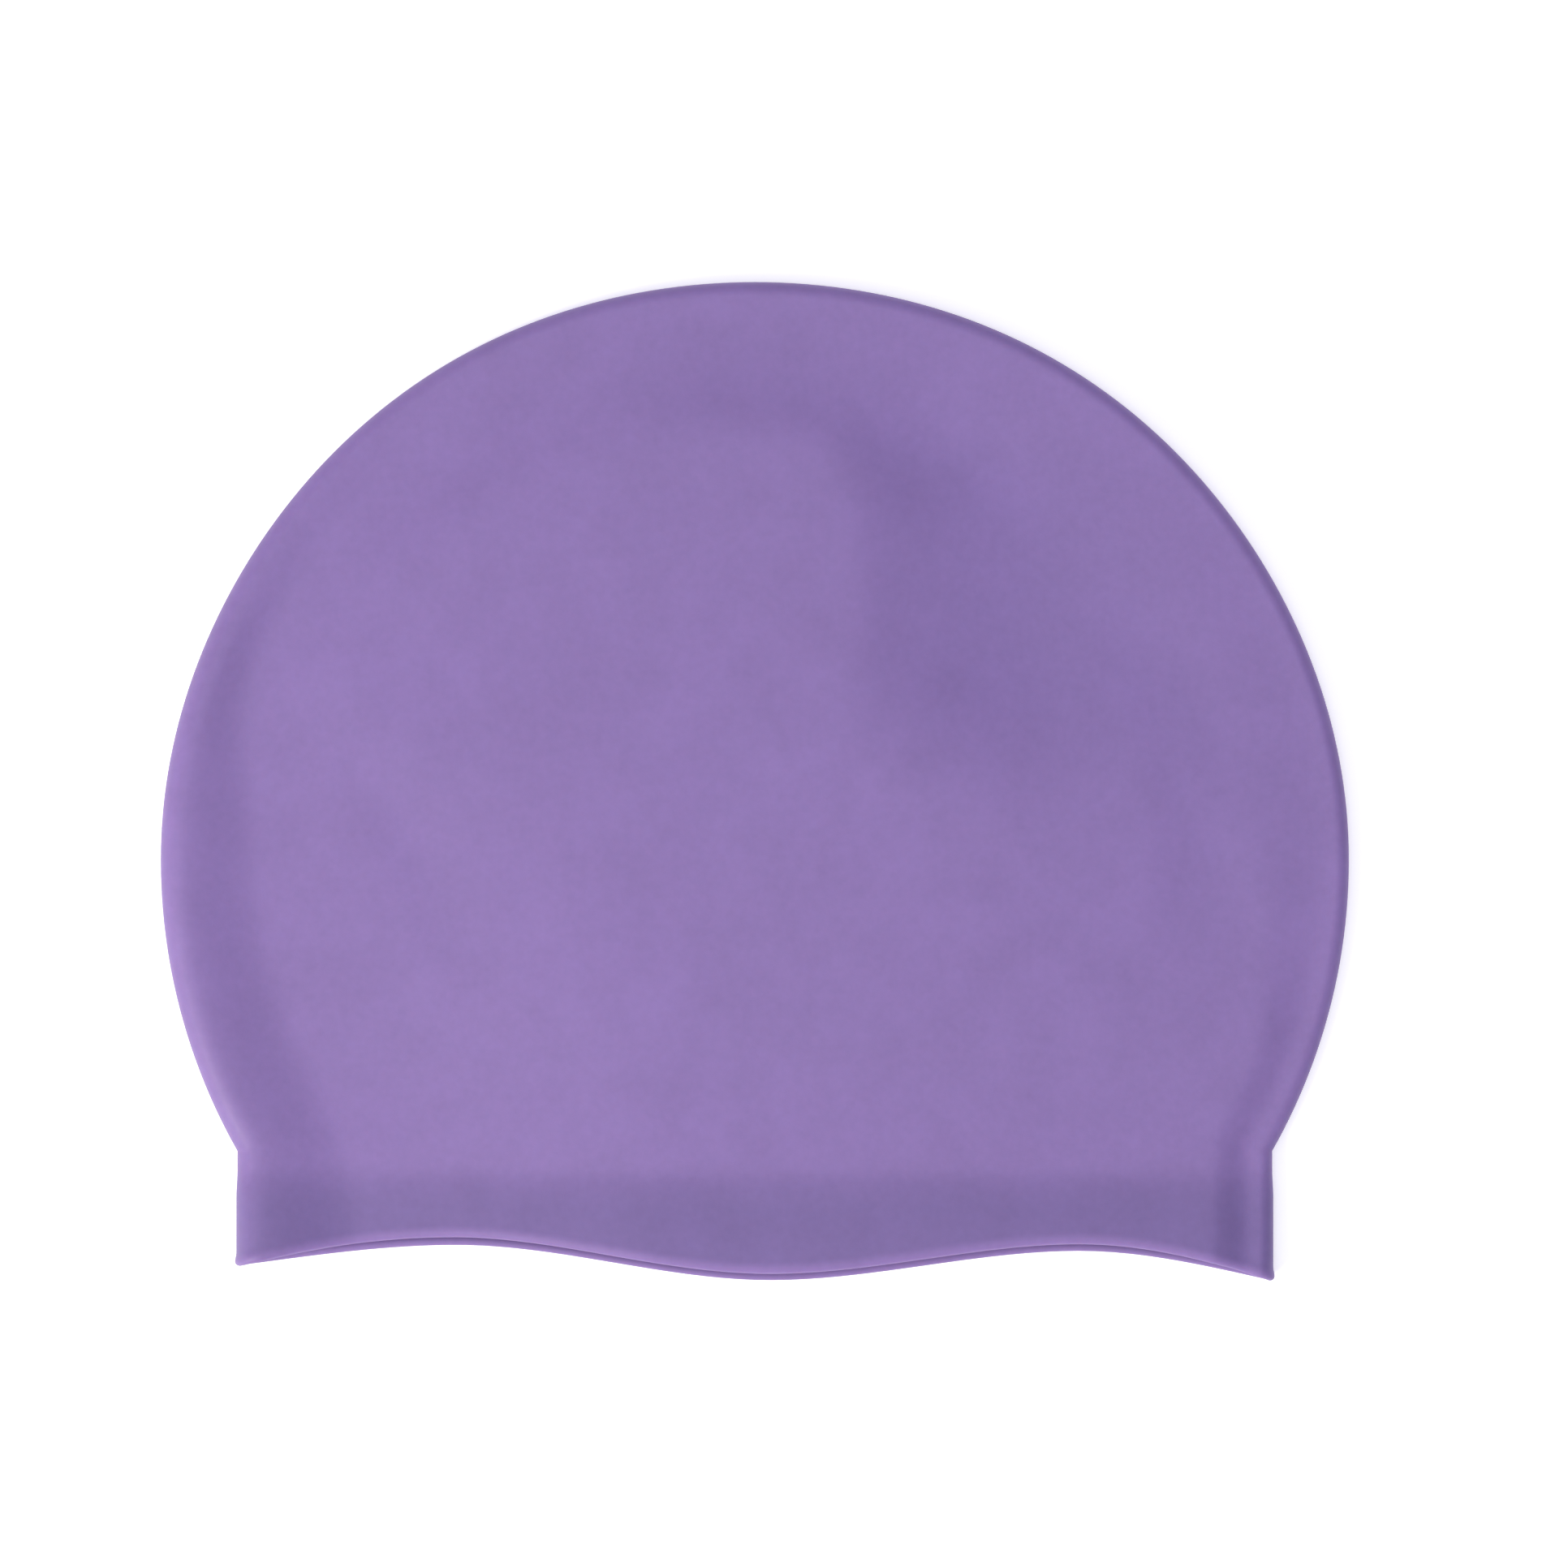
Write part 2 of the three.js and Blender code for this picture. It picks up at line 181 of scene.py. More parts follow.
# %% Soft ripples where the upper sheet has settled
# Each one steps down across an arc, away from the arc's centre, and climbs back farther out.
# across, up: centre, radius, fall, reach: lengths, as shares of half the width
# facing, spread: direction and half the spread of the arc in degrees
# drop: share of CROWN_HEIGHT
RIPPLES = [
    dict(across=-0.5, up=0.45, radius=0.68, facing=3, spread=27, fall=0.26, reach=0.4, drop=0.34),
    dict(across=-0.12, up=0.29, radius=0.47, facing=66, spread=42, fall=0.17, reach=0.3, drop=0.18),
    dict(across=0, up=0, radius=0.67, facing=14, spread=30, fall=0.12, reach=0.14, drop=0.12),
    dict(across=-1.1, up=-0.25, radius=0.545, facing=24, spread=22, fall=0.04, reach=0.1, drop=0.04),
]
print("deepest ripple, mm:", round(1000 * CROWN_HEIGHT * max(row["drop"] for row in RIPPLES), 2))

# %% [markdown]
# ## The outline
#
# Laid flat, the crown is close to half an ellipse, and the jaws below the widest line follow a
# second one down to a sharp notch on each side, where the skirt starts. A Bezier curve drawn over
# a picture could give the same edge. Working it out from an angle gives as many points as the mesh
# wants instead, it follows the sizes when they change, and its normal says which way is in.

# %% Outline of the right half, and the lip
def outline(turn):
    """Points of the fold's middle at eccentric angles from the widest line."""
    reach = np.where(turn < 0, jaw_reach, crown_rise)
    points = np.stack([half_width * np.cos(turn), reach * np.sin(turn)], axis=-1)
    tuck = np.where(turn < 0, 0, CROWN_TUCK * np.sin(2 * turn) ** 2 * np.cos(2 * turn))
    return points * (1 - tuck / np.hypot(points[..., 0], points[..., 1]))[..., None]


def inward_at(turn):
    """Unit vectors straight in from the fold."""
    nudge = 1e-4
    along = outline(turn + nudge) - outline(turn - nudge)
    inward = np.stack([-along[..., 1], along[..., 0]], axis=-1)
    return inward / np.linalg.norm(inward, axis=-1, keepdims=True)


STEP_POWER = 8


def lip_line(x, is_upper):
    """The y of a lip's edge. The lower lip shows a little past the upper one, save at the ends."""
    across = x / neck_half
    drop = read_table(LIP_WAVE, "across", across)["drop"]
    step = LIP_STEP * (1 - np.abs(across) ** STEP_POWER) if is_upper else 0
    return step - NECK_DROP - MOUTH_DROP * drop


crown_top = outline(np.array([np.pi / 2]))[0]
print("top of the crown above the widest line, mm:", round(1000 * crown_top[1], 1))

# %% Distance in from the fold
FOLD_LINE_STEPS = 160
fold_turns = np.linspace(neck_turn, np.pi / 2, FOLD_LINE_STEPS)
well_below_lip = [neck_half, -2 * mouth_depth]
fold_line = np.vstack([well_below_lip, outline(fold_turns)])


def setback(x, y):
    """Shortest distance on the plan from each point to the fold, by symmetry on either side."""
    places = np.stack([np.abs(x), y], axis=-1)
    nearest = np.full(x.shape, np.inf)
    for start, end in zip(fold_line[:-1], fold_line[1:]):
        line = end - start
        share = np.clip((places - start) @ line / (line @ line), 0, 1)
        gap = places - start - share[..., None] * line
        nearest = np.minimum(nearest, np.hypot(gap[..., 0], gap[..., 1]))
    return nearest


middle_of_crown = setback(np.zeros(1), np.zeros(1))[0]
print("from the middle of the widest line to the fold, mm:", round(1000 * middle_of_crown, 1))

# %% [markdown]
# ## Heights of the two sheets
#
# The lower sheet lies on the table. The upper one springs up round the fold, sinks a little behind
# it, and then rises gently over the air that is caught inside, save where it has settled into a
# ripple. Towards the mouth the stiff skirt lifts it again, and more so the nearer the lip is. All
# this could be sculpted, or left to a cloth simulation, but neither is tuned by a few named sizes.
# Here each move is one term of a sum, so each can be tuned by itself.

# %% Height of the upper sheet's middle surface
def quarter(share):
    """Rise of a quarter ellipse from 0 to 1."""
    return np.sqrt(1 - (1 - np.clip(share, 0, 1)) ** 2)


def ripples(x, y, inward):
    """Depth of all the ripples together, which run out at the fold."""
    depth = np.zeros_like(x)
    for row in RIPPLES:
        facing = np.radians(row["facing"])
        east = x - row["across"] * half_width
        north = y - row["up"] * half_width
        along = east * np.cos(facing) + north * np.sin(facing)
        beside = north * np.cos(facing) - east * np.sin(facing)
        turned = np.degrees(np.abs(np.arctan2(beside, along)))
        beyond = np.hypot(along, beside) - row["radius"] * half_width
        beyond = (beyond + np.hypot(beyond, RIPPLE_EDGE)) / 2
        fall = row["fall"] * half_width
        stepped = 1 - (1 - np.clip(beyond / fall, 0, 1)) ** 2
        held = 1 - smooth(beyond, fall, fall + row["reach"] * half_width)
        fading = 1 - smooth(turned, RIPPLE_CORE * row["spread"], row["spread"])
        depth += row["drop"] * CROWN_HEIGHT * stepped * held * fading
    return depth * smooth(inward, 0, RIPPLE_RUN)


def crown_height(x, y, inward):
    """The upper sheet before the skirt lifts it."""
    level = np.where(y > 0, y / crown_rise, y / mouth_depth)
    left = read_table(LEFT_EDGE, "level", level)
    right = read_table(RIGHT_EDGE, "level", level)
    side = smooth(x, -SIDE_BLEND, SIDE_BLEND)
    edge = {name: left[name] + (right[name] - left[name]) * side for name in left}
    foot = edge["foot"] * WIDTH
    sink = smooth(inward, FOLD_CREST * foot, foot)
    slope = smooth(inward, foot, edge["shore"] * WIDTH)
    gentle = smooth(inward, 0, FIELD_RUN)
    spread = (x / half_width) ** 2 + (y / crown_rise) ** 2
    dome = (CROWN_HEIGHT - WALL / 2 - ridge) * np.exp(-DOME_FALL * spread)
    rise = dome * (gentle + (slope - gentle) * edge["climb"])
    swell = 1 + edge["swell"] * (1 - sink)
    reach = edge["reach"] * WIDTH
    shoulder = (ridge - fold_middle) * swell * quarter(inward / reach)
    hollow = edge["dip"] * FOLD_HEIGHT * (sink - slope)
    return fold_middle + shoulder - hollow + rise - ripples(x, y, inward)


open_height = crown_height(np.zeros(1), np.full(1, -mouth_depth), np.full(1, neck_half))[0]
lip_lift = (lip_middle - fold_middle) / (open_height - fold_middle) - 1


def upper_height(x, y, inward):
    """The upper sheet with its skirt lifted to the lip."""
    share = np.clip((skirt_line - y) / (skirt_line - lip_line(x, True)), 0, 1)
    lift = lip_lift * (share + smooth(share, 0, 1)) / 2
    return fold_middle + (crown_height(x, y, inward) - fold_middle) * (1 + lift)


print("skirt lifts the lip by, percent:", round(100 * lip_lift))

# %% [markdown]
# ## The middle surface
#
# The sheets could also be a coarse cage under a Subdivision modifier, but its notches and lips
# would need creases. So the points are laid out in full. Rows of them run from the fold inwards. Near
# the fold they follow its normal, close together, so that the round edge stays crisp, and farther
# in they run together to one pole in the middle of the neck. The rows at the lips are closest of
# all, because the bead's round end is made there.

# %% Spacing of rows and columns
NOSE_STEPS = 8
FADE_STEPS = 6
SKIRT_STEPS = 20
JAW_STEPS = 24
CROWN_STEPS = 72
FOLD_STEPS = 10
EDGE_STEPS = 22
UPPER_STEPS = 50
LOWER_STEPS = 22
EDGE_ZONE = 26 * MM

half_bead = LIP_BEAD / 2
nose = half_bead * (1 - np.cos(np.linspace(0, np.pi / 2, NOSE_STEPS + 1)))
fade = half_bead + BEAD_FADE * np.linspace(0, 1, FADE_STEPS + 1)[1:]
LIP_ROWS = np.concatenate([nose, fade])

folded = FOLD_REACH * (1 - np.cos(np.linspace(0, np.pi / 2, FOLD_STEPS + 1)))
past_fold = np.linspace(FOLD_REACH, EDGE_ZONE, EDGE_STEPS + 1)[1:]
EDGE_COLUMNS = np.concatenate([folded, past_fold])

jaw_turns = np.linspace(neck_turn, 0, JAW_STEPS + 1)[1:]
crown_turns = np.linspace(0, np.pi / 2, CROWN_STEPS + 1)[1:]
FAN_TURNS = np.concatenate([jaw_turns, crown_turns])
POLE = np.array([0, -NECK_DROP])
row_count = len(LIP_ROWS) + SKIRT_STEPS + len(FAN_TURNS)
print("rows:", row_count, "columns near the fold:", len(EDGE_COLUMNS))


# %% Points of one half of a sheet
def spread_columns(starts, inwards, steps):
    """Rows of points from the fold straight in, and then on to the pole."""
    near = starts[:, None] + inwards[:, None] * EDGE_COLUMNS[None, :, None]
    last = near[:, -1:]
    share = np.linspace(0, 1, steps + 1)[1:, None]
    return np.concatenate([near, last + (POLE - last) * share], axis=1)


def plan_rows(side, is_upper, steps):
    """Plan of the right half's rows, from the lip up, for the wave of the given side."""
    notch = outline(np.array([neck_turn]))
    straight_in = np.array([[-1.0, 0.0]])
    between = inward_at(np.array([neck_turn])) + straight_in
    between /= np.linalg.norm(between)
    lip_x = spread_columns(notch, straight_in, steps)[0, :, 0]
    lip_y = lip_line(side * lip_x, is_upper) + LIP_ROWS[:, None]
    lip = np.stack([np.broadcast_to(lip_x, lip_y.shape), lip_y], axis=-1)
    share = np.linspace(0, 1, SKIRT_STEPS + 1)[1:, None, None]
    neck = spread_columns(notch, between, steps)
    skirt = lip[-1] + (neck - lip[-1]) * share
    fan = spread_columns(outline(FAN_TURNS), inward_at(FAN_TURNS), steps)
    return np.concatenate([lip, skirt, fan])


# facts that each point carries, after its place
# from_lip: distance from the lip's edge, or FAR in all rows but the lip's
# skirt, seated, loose: shares from 0 to 1 that say how far the point is part of the skirt, lies on
# the table, and is free to wobble
# sunk: depth of the ripples, as a share of CROWN_HEIGHT, by which the material paints shade into them
FACTS = ("from_lip", "skirt", "seated", "loose", "sunk")
FAR = 1.0


def half_sheet(side, is_upper):
    """Points of one half of a sheet, with the facts at each of them."""
    plan = plan_rows(side, is_upper, UPPER_STEPS if is_upper else LOWER_STEPS)
    x = side * plan[..., 0]
    y = plan[..., 1]
    inward = setback(x, y)
    inward[:, : len(EDGE_COLUMNS)] = EDGE_COLUMNS
    from_lip = np.full(x.shape, FAR)
    from_lip[: len(LIP_ROWS)] = LIP_ROWS[:, None]
    skirt = smooth(skirt_line - y, 0, SKIRT_BLEND)
    seated = np.zeros_like(x) if is_upper else quarter(inward / FOLD_REACH)
    near_lip = 1 - np.clip(from_lip / LIP_ROWS[-1], 0, 1)
    curl = LIP_CURL * near_lip**2 * quarter(inward / EDGE_ZONE)
    z = upper_height(x, y, inward) - curl if is_upper else fold_middle * (1 - seated)
    loose = smooth(inward, FOLD_REACH, EDGE_ZONE) * (1 - SKIRT_STIFFNESS * skirt) * is_upper
    sunk = ripples(x, y, inward) / CROWN_HEIGHT * is_upper
    return np.stack([x, y, z, from_lip, skirt, seated, loose, sunk], axis=-1)


print("points in one half of the upper sheet:", half_sheet(1, True).shape[:2])


# %% Join the four halves into one welded mesh
WELD = 0.01 * MM


def grid_faces(rows, columns, first, is_flipped):
    """Quads of a grid whose first point has the given number."""
    index = first + np.arange(rows * columns).reshape(rows, columns)
    corners = [index[:-1, :-1], index[:-1, 1:], index[1:, 1:], index[1:, :-1]]
    if is_flipped:
        corners.reverse()
    return np.stack(corners, axis=-1).reshape(-1, 4)


def weld(points, faces):
    """Merges equal points, and turns a quad that lost a corner into a triangle."""
    keys = np.round(points[:, :3] / WELD).astype(int)
    _, kept, place = np.unique(keys, axis=0, return_index=True, return_inverse=True)
    tidy = []
    for face in place.ravel()[faces]:
        corners = list(dict.fromkeys(face.tolist()))
        if len(corners) > 2:
            tidy.append(corners)
    return points[kept], tidy


def middle_surface():
    """The whole cap as one sheet without thickness, with its facts as attributes."""
    points = np.zeros((0, 3 + len(FACTS)))
    faces = np.zeros((0, 4), int)
    for side in (1, -1):
        for is_upper in (True, False):
            grid = half_sheet(side, is_upper)
            is_flipped = (side > 0) == is_upper
            quads = grid_faces(grid.shape[0], grid.shape[1], len(points), is_flipped)
            points = np.vstack([points, grid.reshape(-1, 3 + len(FACTS))])
            faces = np.vstack([faces, quads])
    points, faces = weld(points, faces)
    points[:, 1] += widest_line
    mesh = bpy.data.meshes.new("middle_surface")
    mesh.from_pydata(points[:, :3], [], faces)
    for column, name in enumerate(FACTS, start=3):
        attribute = mesh.attributes.new(name, "FLOAT", "POINT")
        attribute.data.foreach_set("value", points[:, column])
    return mesh


middle = bpy.data.objects.new("cap_silicone", middle_surface())
bpy.context.scene.collection.objects.link(middle)
print("middle surface:", len(middle.data.vertices), "points,", len(middle.data.polygons), "faces")

# %% [markdown]
# ## Writing nodes as Python sums
#
# Long node trees are hard to read as lists of links. Here an output socket is wrapped in a small
# class, so that adding or multiplying two of them adds the Math node that does it. Every other
# node comes from one method of the bench. Both serve Geometry Nodes and materials alike.

# %% A wire and a bench for node trees
class Wire:
    """An output socket that can stand in a Python sum."""

    def __init__(self, bench, socket):
        self.bench = bench
        self.socket = socket

    def out(self, name):
        """Another output of the same node."""
        return Wire(self.bench, self.socket.node.outputs[name])

    def __add__(self, other):
        return self.bench.math("ADD", self, other)

    def __sub__(self, other):
        return self.bench.math("SUBTRACT", self, other)

    def __rsub__(self, other):
        return self.bench.math("SUBTRACT", other, self)

    def __mul__(self, other):
        return self.bench.math("MULTIPLY", self, other)

    def __truediv__(self, other):
        return self.bench.math("DIVIDE", self, other)

    def __rtruediv__(self, other):
        return self.bench.math("DIVIDE", other, self)

    __radd__ = __add__
    __rmul__ = __mul__


class Bench:
    """Makes the nodes of one tree."""

    def __init__(self, tree):
        self.tree = tree

    def plug(self, socket, value):
        """Links a wire, or each of a list of wires, into a socket, or sets its value."""
        if isinstance(value, Wire):
            self.tree.links.new(value.socket, socket)
        elif isinstance(value, list):
            for wire in value:
                self.plug(socket, wire)
        else:
            socket.default_value = value

    def node(self, kind, settings, values, out=0):
        """A node with its settings, then its inputs, as a wire from one of its outputs."""
        node = self.tree.nodes.new(kind)
        for name, setting in settings.items():
            setattr(node, name, setting)
        for key, value in values.items():
            self.plug(node.inputs[key], value)
        return Wire(self, node.outputs[out]) if node.outputs else None

    def math(self, operation, first, second=0.0):
        return self.node("ShaderNodeMath", {"operation": operation}, {0: first, 1: second})

    def ramp(self, value, start, end, low=0.0, high=1.0):
        """The smooth S from low to high."""
        return self.node(
            "ShaderNodeMapRange",
            {"interpolation_type": "SMOOTHSTEP"},
            {"Value": value, "From Min": start, "From Max": end, "To Min": low, "To Max": high},
        )

    def noise(self, where, size, detail, seed):
        """Smooth noise from -1 to 1, with lumps of the given size."""
        noise = self.node(
            "ShaderNodeTexNoise",
            {"noise_dimensions": "4D"},
            {"Vector": where, "W": seed, "Scale": 1 / size, "Detail": detail},
        )
        return (noise - 0.5) * 2


print("node helpers ready:", Wire.__name__, "and", Bench.__name__)

# %% [markdown]
# ## The wall and the bead
#
# The silicone is taken as 0.8 mm thick. It swells to 1.2 mm in the skirt and ends in a round
# bead at the lips. A Solidify modifier has one thickness only, so the rule is written in Geometry
# Nodes: each point moves along its normal by half the thickness there, once outwards and once
# inwards, and the two skins merge where the thickness runs out, at the very edge of the lips. The
# same tree seats the lower sheet, and gives the loose part of the upper one a slow wobble of a
# tenth of a millimetre, because soft silicone never lies perfectly smooth.

# %% Geometry Nodes tree, and its named inputs
WALL_INPUTS = {
    "Wall": WALL,
    "Skirt Wall": SKIRT_WALL,
    "Lip Bead": LIP_BEAD,
    "Bead Fade": BEAD_FADE,
    "Wobble Height": 0.12 * MM,
    "Wobble Size": 30 * MM,
    "Wobble Seed": 7.0,
}

wall_tree = bpy.data.node_groups.new("lay_silicone", "GeometryNodeTree")
wall_tree.is_modifier = True
wall_tree.interface.new_socket("Geometry", in_out="INPUT", socket_type="NodeSocketGeometry")
for size_name in WALL_INPUTS:
    wall_tree.interface.new_socket(size_name, in_out="INPUT", socket_type="NodeSocketFloat")
wall_tree.interface.new_socket("Finish", in_out="INPUT", socket_type="NodeSocketMaterial")
wall_tree.interface.new_socket("Geometry", in_out="OUTPUT", socket_type="NodeSocketGeometry")

bench = Bench(wall_tree)
given = bench.node("NodeGroupInput", {}, {})
print("inputs of the tree:", ", ".join(WALL_INPUTS))


# %% Half the thickness at each point
def fact(name):
    """An attribute that the middle surface carries."""
    return bench.node("GeometryNodeInputNamedAttribute", {"data_type": "FLOAT"}, {"Name": name})


bead_radius = given.out("Lip Bead") / 2
wall_radius = given.out("Wall") / 2
skirt_radius = given.out("Skirt Wall") / 2
body_radius = wall_radius + (skirt_radius - wall_radius) * fact("skirt")
bead_end = bead_radius + given.out("Bead Fade")
past_bead = bench.ramp(fact("from_lip"), bead_radius, bead_end)
full_radius = bead_radius + (body_radius - bead_radius) * past_bead
nose_share = bench.math("MINIMUM", fact("from_lip") / bead_radius, 1.0)
radius = full_radius * bench.math("SQRT", nose_share * (2 - nose_share))
print("nodes for the thickness:", len(wall_tree.nodes))

# %% Seat the lower sheet on the table and let the upper one wobble
WOBBLE_DETAIL = 2.0

place = bench.node("GeometryNodeInputPosition", {}, {})
wobble = bench.noise(place, given.out("Wobble Size"), WOBBLE_DETAIL, given.out("Wobble Seed"))
height = full_radius * fact("seated") + wobble * given.out("Wobble Height") * fact("loose")
lift = bench.node("ShaderNodeCombineXYZ", {}, {"Z": height})
settled = bench.node(
    "GeometryNodeSetPosition", {}, {"Geometry": given.out("Geometry"), "Offset": lift}
)
print("nodes with the wobble:", len(wall_tree.nodes))


# %% Lay the two skins and join them
MERGE = 0.001 * MM


def skin(reach):
    """The settled sheet, moved along its normals."""
    normal = bench.node("GeometryNodeInputNormal", {}, {})
    offset = bench.node(
        "ShaderNodeVectorMath", {"operation": "SCALE"}, {"Vector": normal, "Scale": reach}
    )
    return bench.node("GeometryNodeSetPosition", {}, {"Geometry": settled, "Offset": offset})


outer = skin(radius)
inner = bench.node("GeometryNodeFlipFaces", {}, {"Mesh": skin(0 - radius)})
shell = bench.node("GeometryNodeJoinGeometry", {}, {"Geometry": [outer, inner]})
shell = bench.node("GeometryNodeMergeByDistance", {}, {"Geometry": shell, "Distance": MERGE})
shell = bench.node("GeometryNodeSetShadeSmooth", {}, {"Geometry": shell})
shell = bench.node("GeometryNodeRealizeInstances", {}, {"Geometry": shell})
shell = bench.node(
    "GeometryNodeSetMaterial", {}, {"Geometry": shell, "Material": given.out("Finish")}
)
bench.node("NodeGroupOutput", {}, {"Geometry": shell})
print("nodes in the whole tree:", len(wall_tree.nodes))

# %% [markdown]
# ## The finish of the silicone
#
# Pigmented silicone is nearly matt: light goes a little way in and comes back lilac, and the
# surface itself gives only a broad, weak sheen. Such moulds are often sand-blasted, so the skin
# gets a very fine grain and faint cloudy patches. They could be painted on an image, but noise on
# Object coordinates needs no UV map, and it stays where it is when the cap is seen from elsewhere.
#
# Two painted shades are read from what the middle surface knows. The skirt is painted a little
# darker, save on the bead, as shade for the dark band across it. Inside the ripples a darker,
# bluer tint is painted shade too, because their guessed slopes alone came out paler than in the
# photograph. It is a painted aid, and presumably no change of colour that the real silicone has.

# %% Silicone material
LILAC = (0.239, 0.155, 0.411, 1)
# painted shade: a darker lilac for the dark band across the skirt
SKIRT_SHADE_LILAC = (0.192, 0.130, 0.350, 1)
SKIRT_FADE_ABOVE = 2.5 * MM
SKIRT_FADE_BELOW = 7.5 * MM
# painted shade: a darker, bluer lilac where the ripples are deep
RIPPLE_SHADE_LILAC = (0.160, 0.104, 0.330, 1)
RIPPLE_SHADE_SHARE = 0.9
CLOUD_SIZE = 35 * MM
CLOUD_CONTRAST = 0.05
BLOTCH_SIZE = 9 * MM
BLOTCH_CONTRAST = 0.1
SPECK_SIZE = 1.6 * MM
SPECK_CONTRAST = 0.08
SATIN = 0.52
SATIN_SPREAD = 0.05
GRAIN_SIZE = 0.45 * MM
GRAIN_DEPTH = 0.02 * MM
GRAIN_STRENGTH = 0.35
SILICONE_IOR = 1.41
GLOW_WEIGHT = 0.12
GLOW_DEPTH = 1.5 * MM

silicone = bpy.data.materials.new("silicone")
silicone.use_nodes = True
silicone.node_tree.nodes.clear()
bench = Bench(silicone.node_tree)

place = bench.node("ShaderNodeTexCoord", {}, {}, out="Object")
height_on_plan = bench.node("ShaderNodeSeparateXYZ", {}, {"Vector": place}, out="Y")
sunk = bench.node("ShaderNodeAttribute", {"attribute_name": "sunk"}, {}, out="Fac")
from_lip = bench.node("ShaderNodeAttribute", {"attribute_name": "from_lip"}, {}, out="Fac")
clouds = bench.noise(place, CLOUD_SIZE, detail=4.0, seed=1.0)
blotches = bench.noise(place, BLOTCH_SIZE, detail=4.0, seed=4.0)
specks = bench.noise(place, SPECK_SIZE, detail=3.0, seed=2.0)
grain = bench.noise(place, GRAIN_SIZE, detail=2.0, seed=3.0)
print("pigment, linear:", LILAC[:3])


# %% Colour, sheen and grain
def mix_colours(share, first, second, blend="MIX"):
    """The Mix node for colours, whose sockets for them are 6 and 7."""
    settings = {"data_type": "RGBA", "blend_type": blend}
    return bench.node("ShaderNodeMix", settings, {0: share, 6: first, 7: second}, out=2)


skirt_y = skirt_line + widest_line
in_skirt = bench.ramp(height_on_plan, skirt_y + SKIRT_FADE_ABOVE, skirt_y - SKIRT_FADE_BELOW)
off_bead = bench.ramp(from_lip, LIP_BEAD / 2, LIP_BEAD / 2 + BEAD_FADE)
# painted shade: the skirt a little darker, save on the bead
base_colour = mix_colours(in_skirt * off_bead, LILAC, SKIRT_SHADE_LILAC)
# painted shade inside the ripples, the deeper the darker
base_colour = mix_colours(sunk * RIPPLE_SHADE_SHARE, base_colour, RIPPLE_SHADE_LILAC)
mottle = clouds * CLOUD_CONTRAST + blotches * BLOTCH_CONTRAST + specks * SPECK_CONTRAST
shade = 1 + mottle
shade_colour = bench.node("ShaderNodeCombineColor", {}, {0: shade, 1: shade, 2: shade})
colour = mix_colours(1.0, base_colour, shade_colour, "MULTIPLY")
roughness = SATIN + clouds * SATIN_SPREAD
relief = bench.node(
    "ShaderNodeBump",
    {},
    {"Strength": GRAIN_STRENGTH, "Distance": GRAIN_DEPTH, "Height": grain},
)
shader = bench.node(
    "ShaderNodeBsdfPrincipled",
    {},
    {
        "Base Color": colour,
        "Roughness": roughness,
        "IOR": SILICONE_IOR,
        "Normal": relief,
        "Subsurface Weight": GLOW_WEIGHT,
        "Subsurface Scale": GLOW_DEPTH,
    },
)
bench.node("ShaderNodeOutputMaterial", {}, {"Surface": shader})
print("nodes in the silicone:", len(silicone.node_tree.nodes))

# %% [markdown]
# ## From rule to mesh
#
# The tree is hung on the middle surface as a modifier. Its inputs are set by their identifiers
# before anything is evaluated. Then the result is copied into a plain mesh and the modifier goes,
# so that the piece is a fixed, closed shell that any other program can read.

# %% Lay the silicone and keep the result as a plain mesh
modifier = middle.modifiers.new("lay silicone", "NODES")
modifier.node_group = wall_tree
identifiers = {item.name: item.identifier for item in wall_tree.interface.items_tree}
for size_name, size in WALL_INPUTS.items():
    modifier[identifiers[size_name]] = size
modifier[identifiers["Finish"]] = silicone

evaluated = middle.evaluated_get(bpy.context.evaluated_depsgraph_get())
cap_mesh = bpy.data.meshes.new_from_object(evaluated)
middle.modifiers.clear()
middle.data = cap_mesh
cap = middle
print("cap mesh:", len(cap_mesh.vertices), "points,", len(cap_mesh.polygons), "faces")

# %% Check that the shell is closed, and measure it
loop_edges = np.zeros(len(cap_mesh.loops), int)
cap_mesh.loops.foreach_get("edge_index", loop_edges)
open_edges = int((np.bincount(loop_edges, minlength=len(cap_mesh.edges)) != 2).sum())
corners = np.zeros(3 * len(cap_mesh.vertices))
cap_mesh.vertices.foreach_get("co", corners)
corners = corners.reshape(-1, 3)
size = 1000 * (corners.max(0) - corners.min(0))
cap_mesh.calc_loop_triangles()
print("open edges:", open_edges, "triangles:", len(cap_mesh.loop_triangles))
print("size, mm:", np.round(size, 2), "lowest, mm:", np.round(1000 * corners.min(0), 2))

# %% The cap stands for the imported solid
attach(cap, "root")
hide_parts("cap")
print("cap rides on root")

# %% [markdown]
# ## Floor, light and camera
#
# The cap is seen straight from above on white. A long lens a metre and a half up keeps the
# outline free of perspective. A warm key light comes from low on the left, so that the shallow
# hollows and ridges read. A wide soft light from above and a cool, even light all round fill the
# rest, which makes whatever lies in the key's shade a trace bluer. The paper glows a little by
# itself, as paper on a light table does, so it stays white and the cap's shadow stays pale.

# %% White floor
FLOOR_HALF = 3.0
FLOOR_DROP = 0.05 * MM
PAPER = (0.93, 0.93, 0.93, 1)
PAPER_MATT = 0.9
PAPER_GLOW = 0.4
FIBRE_SIZE = 0.8 * MM
FIBRE_DEPTH = 0.02 * MM
FIBRE_STRENGTH = 0.1

